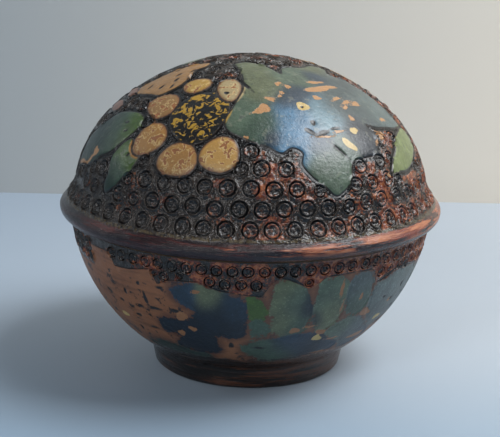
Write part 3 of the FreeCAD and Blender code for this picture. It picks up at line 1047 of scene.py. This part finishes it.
def lid_finish(bead_start, belly):
    """Painted, burnt and varnished outside of the lid."""
    f, place, across, paint, blotch, grit, speck, lumps = started("painted_lid")
    painted, petal, heart, bud = (f.field(name) for name in ("painted", "petal", "heart", "bud"))
    burnt, line, relief, along = (f.field(name) for name in ("burnt", "line", "relief", "along"))
    on_petal, on_heart = (f.step(field, -0.1, 0.1) for field in (petal, heart))
    ground = 1 - f.step(painted, -0.6, 0.0)
    colour = charred(f, place, relief, grit, 0.08)

    leaf = f.shade(paint, f.step(blotch, 0.3, 0.72) * 0.4 + grit * 0.55 + 0.5)
    rubbed = f.step(f.noise(place, 2.2, 4, 0.65) + blotch * 0.25, 0.72, 0.78)
    leaf = f.mix(rubbed * 0.35, leaf, srgb(128, 128, 112))
    dull = f.step(f.noise(place, 1.5, 4, 0.7) + blotch * 0.3, 0.72, 0.82)
    leaf = f.mix(dull * 0.5, leaf, srgb(36, 44, 50))
    colour = f.mix(f.step(painted + (grit - 0.5) * 0.4, -0.12, 0.12), colour, leaf)

    patch = f.noise(place, 2.1, 3, 0.6, 0.6) + grit * 0.15
    worn = f.step(patch, 0.63, 0.66)
    rim = f.step(patch, 0.58, 0.62) - worn
    flower = f.shade(paint, speck * 0.3 + 0.72)
    flower = f.mix(rim * 0.6, flower, srgb(206, 178, 122))
    flower = f.mix(worn, flower, f.mix(speck, srgb(104, 64, 40), srgb(160, 104, 60)))
    flower = f.mix(f.step(petal, 0.1, 1.2), srgb(106, 68, 42), flower)

    tan = f.shade(paint, blotch * 0.7 + grit * 0.5 + 0.45)
    colour = f.mix(f.step(bud + (grit - 0.5) * 0.4, -0.1, 0.1), colour, tan)

    tuft = f.step(f.noise(place, 2.2, 4, 0.6, 1.2), 0.53, 0.56)
    middle = f.mix(tuft, srgb(20, 19, 18), f.mix(speck, srgb(128, 92, 22), srgb(188, 150, 56)))
    colour = f.mix(on_heart, colour, middle)
    colour = f.mix(on_petal, colour, flower)

    bare = f.mix(speck, srgb(150, 104, 66), srgb(190, 146, 100))
    colour, chipped = small_marks(f, colour, bare, grit, speck)
    colour = channel(f, colour, burnt, painted, grit)
    inked = 1 - f.step(line + (grit - 0.5) * 0.3, 0.2, 0.42)
    colour = f.mix(inked * 0.9, colour, srgb(24, 19, 18))

    fine = f.noise(streaks(f, place, along), 1, 5, 0.7)
    wide = f.noise(streaks(f, place, along, 0.22), 1, 3)
    edge = f.step(abs(along - bead_start + (lumps - 0.5) * 1.6 + 0.3), 0.75, 0.35)
    colour = f.mix(edge, colour, f.mix(f.step(grit, 0.4, 0.6), srgb(34, 27, 20), srgb(80, 67, 44)))
    red = f.mix(f.step(fine, 0.42, 0.64), srgb(24, 13, 17), srgb(76, 28, 22))
    worn_and_lit_red = f.mix(f.step(fine, 0.42, 0.66), srgb(112, 44, 28), srgb(178, 108, 70))
    # Orange worn streaks of the bead; their share grows with x towards the lit side as painted light
    red = f.mix(f.step(fine * 0.9 + wide * 0.6 + across * 0.0035, 0.82, 0.94), red, worn_and_lit_red)
    # Painted shade: below its belly, where the bead turns down and away from the light, it is darkened to
    # purple-brown
    red = f.mix(f.step(along, belly, belly + 1.6) * 0.7, red, srgb(44, 24, 28))
    bead = f.step(along + (lumps - 0.5) * 1.6, bead_start - 0.1, bead_start + 0.4)
    colour = f.mix(bead, colour, red)

    height = grit * 0.12 + speck * 0.03 - chipped * 0.06 + bead * fine * 0.6
    height = height + ground * (1 - bead) * lumps * 0.7
    height = height + on_heart * tuft * 0.2 - f.step(petal, 0.2, 0.5) * worn * 0.06
    rough = 0.3 - ground * 0.17 + on_petal * 0.1 + grit * 0.06
    return f.close(colour, rough, height, 0.55)


def bowl_finish():
    """Painted, burnt and varnished outside of the bowl."""
    f, place, across, paint, blotch, grit, speck, lumps = started("painted_bowl")
    painted, burnt, relief, along = (f.field(name) for name in ("painted", "burnt", "relief", "along"))
    fine = f.noise(streaks(f, place, along), 1, 4, 0.65)

    wood = f.mix(blotch, srgb(116, 72, 46), srgb(154, 100, 64))
    wood = f.mix(f.step(fine, 0.45, 0.7) * 0.5, wood, srgb(76, 44, 28))
    wood = f.mix(f.step(f.noise(place, 3.2, 4, 0.7) + grit * 0.2, 0.68, 0.72), wood, srgb(36, 26, 24))
    wood = f.mix(f.step(painted, -4.0, -0.5) * 0.75, wood, f.mix(fine, srgb(44, 26, 22), srgb(94, 56, 40)))

    leaf = f.shade(paint, f.step(blotch, 0.3, 0.72) * 0.4 + grit * 0.6 + 0.45)
    leaf = f.mix(f.step(speck + grit * 0.4, 0.8, 0.88) * 0.5, leaf, f.shade(paint, 2.4))
    torn = painted + (blotch - 0.5) * 7 + (grit - 0.5) * 5
    colour = f.mix(f.step(torn, -1.1, -0.5), wood, leaf)
    bare = f.mix(speck, srgb(122, 80, 52), srgb(158, 110, 72))
    colour, chipped = small_marks(f, colour, bare, grit, speck)
    band = f.step(burnt + (grit - 0.5) * 0.5, -0.15, 0.15)
    colour = f.mix(band, colour, charred(f, place, relief, grit, 0.2))
    colour = channel(f, colour, burnt, painted, grit)

    # Dark turned brown of the low wall and foot; it runs lighter and redder with x towards the lit side, as
    # painted light
    brown = f.mix(f.step(fine + across * 0.004, 0.4, 0.7), srgb(15, 11, 9), srgb(84, 50, 32))
    low = 1 - f.step(along + blotch * 7, 40.5, 44.5)
    colour = f.mix(low, colour, brown)

    band = f.step(burnt, 0.0, 0.4)
    height = grit * 0.12 + speck * 0.03 - chipped * 0.05 + low * fine * 0.5 + band * lumps * 0.6
    return f.close(colour, 0.46 - low * 0.3 - band * 0.3, height, 0.55)


def turned_finish():
    """Bare turned wood of the insides and of the rims that meet."""
    f = Finish("bare_turned_wood")
    x, y, z = f.split(f.place())
    grain = f.noise(f.give("CombineXYZ", None, X=x * 0.05, Y=y * 0.4, Z=z * 0.4), 1, 4, 0.6)
    rings = f.noise(f.give("CombineXYZ", None, X=x * 0.02, Y=y * 0.02, Z=z * 1.6), 1, 2)
    colour = f.mix(grain, srgb(104, 72, 48), srgb(164, 124, 86))
    return f.close(colour, 0.6, rings * 0.06 + grain * 0.05)


# Making the two pieces

lid_form = lid_turning()
bowl_form = bowl_turning()
lid_outer = float(lid_form.along[lid_form.last[2]])
bowl_foot, bowl_outer = (float(bowl_form.along[k]) for k in bowl_form.last[:2])
wall_foot = BALL_RADIUS * math.acos((BALL_CENTRE - FOOT_HEIGHT) / BALL_RADIUS)
wall_start = float(bowl_form.along[bowl_form.last[0] + 1]) - wall_foot

lid_layout = Layout(lid_shapes(), lid_ground)
bowl_layout = Layout(bowl_shapes(wall_start), bowl_ground(wall_start))
punching = punching_tree()
ring_marks = mark_variants()
bare_wood = turned_finish()

lid_marks = Striking(lid_form, lid_layout)
low_row = lid_form.level(LID_LOW_ROW, 1)
lid_marks.rows(low_row, 2.6, 1.0)
lid_marks.scatter(0, low_row - 1, 1.0)
carved_end = low_row + MARK + 0.4
lid_rows = list(np.linspace(carved_end, lid_outer, 36)) + list(lid_form.along[lid_form.last[2] + 1:-1])
lid_mesh = flat_mesh(
    "lid_sheet",
    struck_sheet(lid_layout, lid_marks.spots, 0, carved_end),
    lathe_sheet(lid_rows, float(lid_form.along[-1])),
)
belly = float(lid_form.along[np.argmax(lid_form.points[:, 0])])
lid_paint = lid_finish(carved_end, belly)
lid_mesh = punched(lid_mesh, lid_marks.spots, ring_marks, punching, lid_paint)
lid = dress("lid_turned", lid_mesh, lid_form, lid_layout, lid_outer, 0, [lid_paint, bare_wood])

bowl_marks = Striking(bowl_form, bowl_layout)
top_row = wall_start + BALL_RADIUS * math.acos((BALL_CENTRE - BOWL_TOP_ROW) / BALL_RADIUS)
bowl_marks.rows(top_row, wall_start + 64, BOWL_MARKS)
bowl_marks.scatter(wall_start + 64, top_row - 1, BOWL_MARKS)
wall_low, wall_high = bowl_foot + 0.9, bowl_outer - 0.1
foot_rows = list(bowl_form.along[1:bowl_form.last[0] + 1]) + [wall_low]
top_rows = [wall_high] + list(bowl_form.along[bowl_form.last[1] + 1:-1])
bowl_mesh = flat_mesh(
    "bowl_sheet",
    lathe_sheet(foot_rows, 0),
    struck_sheet(bowl_layout, bowl_marks.spots, wall_low, wall_high),
    lathe_sheet(top_rows, float(bowl_form.along[-1])),
)
bowl_paint = bowl_finish()
bowl_mesh = punched(bowl_mesh, bowl_marks.spots, ring_marks, punching, bowl_paint)
bowl_finishes = [bowl_paint, bare_wood]
bowl = dress("bowl_turned", bowl_mesh, bowl_form, bowl_layout, bowl_outer, wall_start, bowl_finishes)

for piece, node, wood in ((lid, "lid", "lid_wood"), (bowl, "bowl", "bowl_wood")):
    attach(piece, node)
    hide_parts(node)
    print(piece.name, "triangles", sum(len(face.vertices) - 2 for face in piece.data.polygons))
print("marks", len(lid_marks.spots), len(bowl_marks.spots))


# Floor, backdrop, lamps and camera

def plane(name, corners, left, right, front, roughness):
    """A flat sheet of the setting, with painted light: toned from its shaded left to its lit right, and
    darker towards the front as painted shade; clear from behind.
    """
    mesh = bpy.data.meshes.new(name)
    mesh.from_pydata(corners, [], [tuple(range(len(corners)))])
    finish = Finish(name)
    x, y, z = finish.split(finish.place())
    # Painted light: shaded on the left, lit on the right
    colour = finish.mix(finish.step(x, -160, 160), left, right)
    # Painted shade towards the front
    colour = finish.mix(finish.step(0 - y, -40, 190), colour, front)
    facing = 1 - finish.give("NewGeometry", None, "Backfacing")
    shader = finish.tree.node(
        "ShaderNodeBsdfPrincipled", None, Base_Color=colour, Roughness=roughness, Alpha=facing,
    )
    finish.tree.node("ShaderNodeOutputMaterial", None, Surface=shader.outputs[0])
    mesh.materials.append(finish.material)
    made = bpy.data.objects.new(name, mesh)
    bpy.context.scene.collection.objects.link(made)
    return made


def lamp(name, place, aim, size, power, colour=(1, 1, 1)):
    """A soft square lamp that faces a point."""
    light = bpy.data.lights.new(name, "AREA")
    light.size = size
    light.energy = power
    light.color = colour
    made = bpy.data.objects.new(name, light)
    made.location = place
    made.rotation_mode = "QUATERNION"
    made.rotation_quaternion = (Vector(aim) - Vector(place)).to_track_quat("-Z", "Y")
    bpy.context.scene.collection.objects.link(made)


WALL_Y = 0.1925
floor_corners = [(-3, -3, 0), (3, -3, 0), (3, WALL_Y, 0), (-3, WALL_Y, 0)]
wall_corners = [(-3, WALL_Y, 0), (3, WALL_Y, 0), (3, WALL_Y, 2), (-3, WALL_Y, 2)]
# Floor and backdrop colours paint the light's fall: darker to the left and, on the floor, towards the front
plane("floor", floor_corners, srgb(156, 170, 184), srgb(178, 186, 194), srgb(98, 140, 170), 0.55)
plane("backdrop", wall_corners, srgb(172, 178, 180), srgb(240, 230, 214), srgb(200, 194, 188), 0.8)
lamp("window", (0.5, -0.05, 0.75), (0, 0, 0.04), 0.5, 9.0, (0.94, 0.97, 1))
lamp("room", (-0.5, -0.9, 0.6), (0, 0, 0.04), 0.3, 3.8)
lamp("doorway", (-0.62, 0.08, 0.42), (0, 0, 0.05), 0.1, 0.35, (0.9, 0.95, 1))

world = bpy.data.worlds.new("room")
world.use_nodes = True
world.node_tree.nodes["Background"].inputs["Color"].default_value = (0.8, 0.87, 1, 1)
world.node_tree.nodes["Background"].inputs["Strength"].default_value = 0.15
bpy.context.scene.world = world

view = bpy.data.cameras.new("camera")
view.lens = 91.4
view.sensor_width = 36
roll = 0.022
forward = Vector((0, 0.9661, -0.2580))
level, upright = Vector((1, 0, 0)), Vector((0, 0.2580, 0.9661))
right = math.cos(roll) * level + math.sin(roll) * upright
up = math.cos(roll) * upright - math.sin(roll) * level
camera = bpy.data.objects.new("camera", view)
aim = Matrix((right, up, -forward)).transposed().to_4x4()
camera.matrix_world = Matrix.Translation((0, -0.3575, 0.1374)) @ aim
bpy.context.scene.collection.objects.link(camera)
bpy.context.scene.camera = camera
bpy.context.scene.view_settings.view_transform = "Standard"
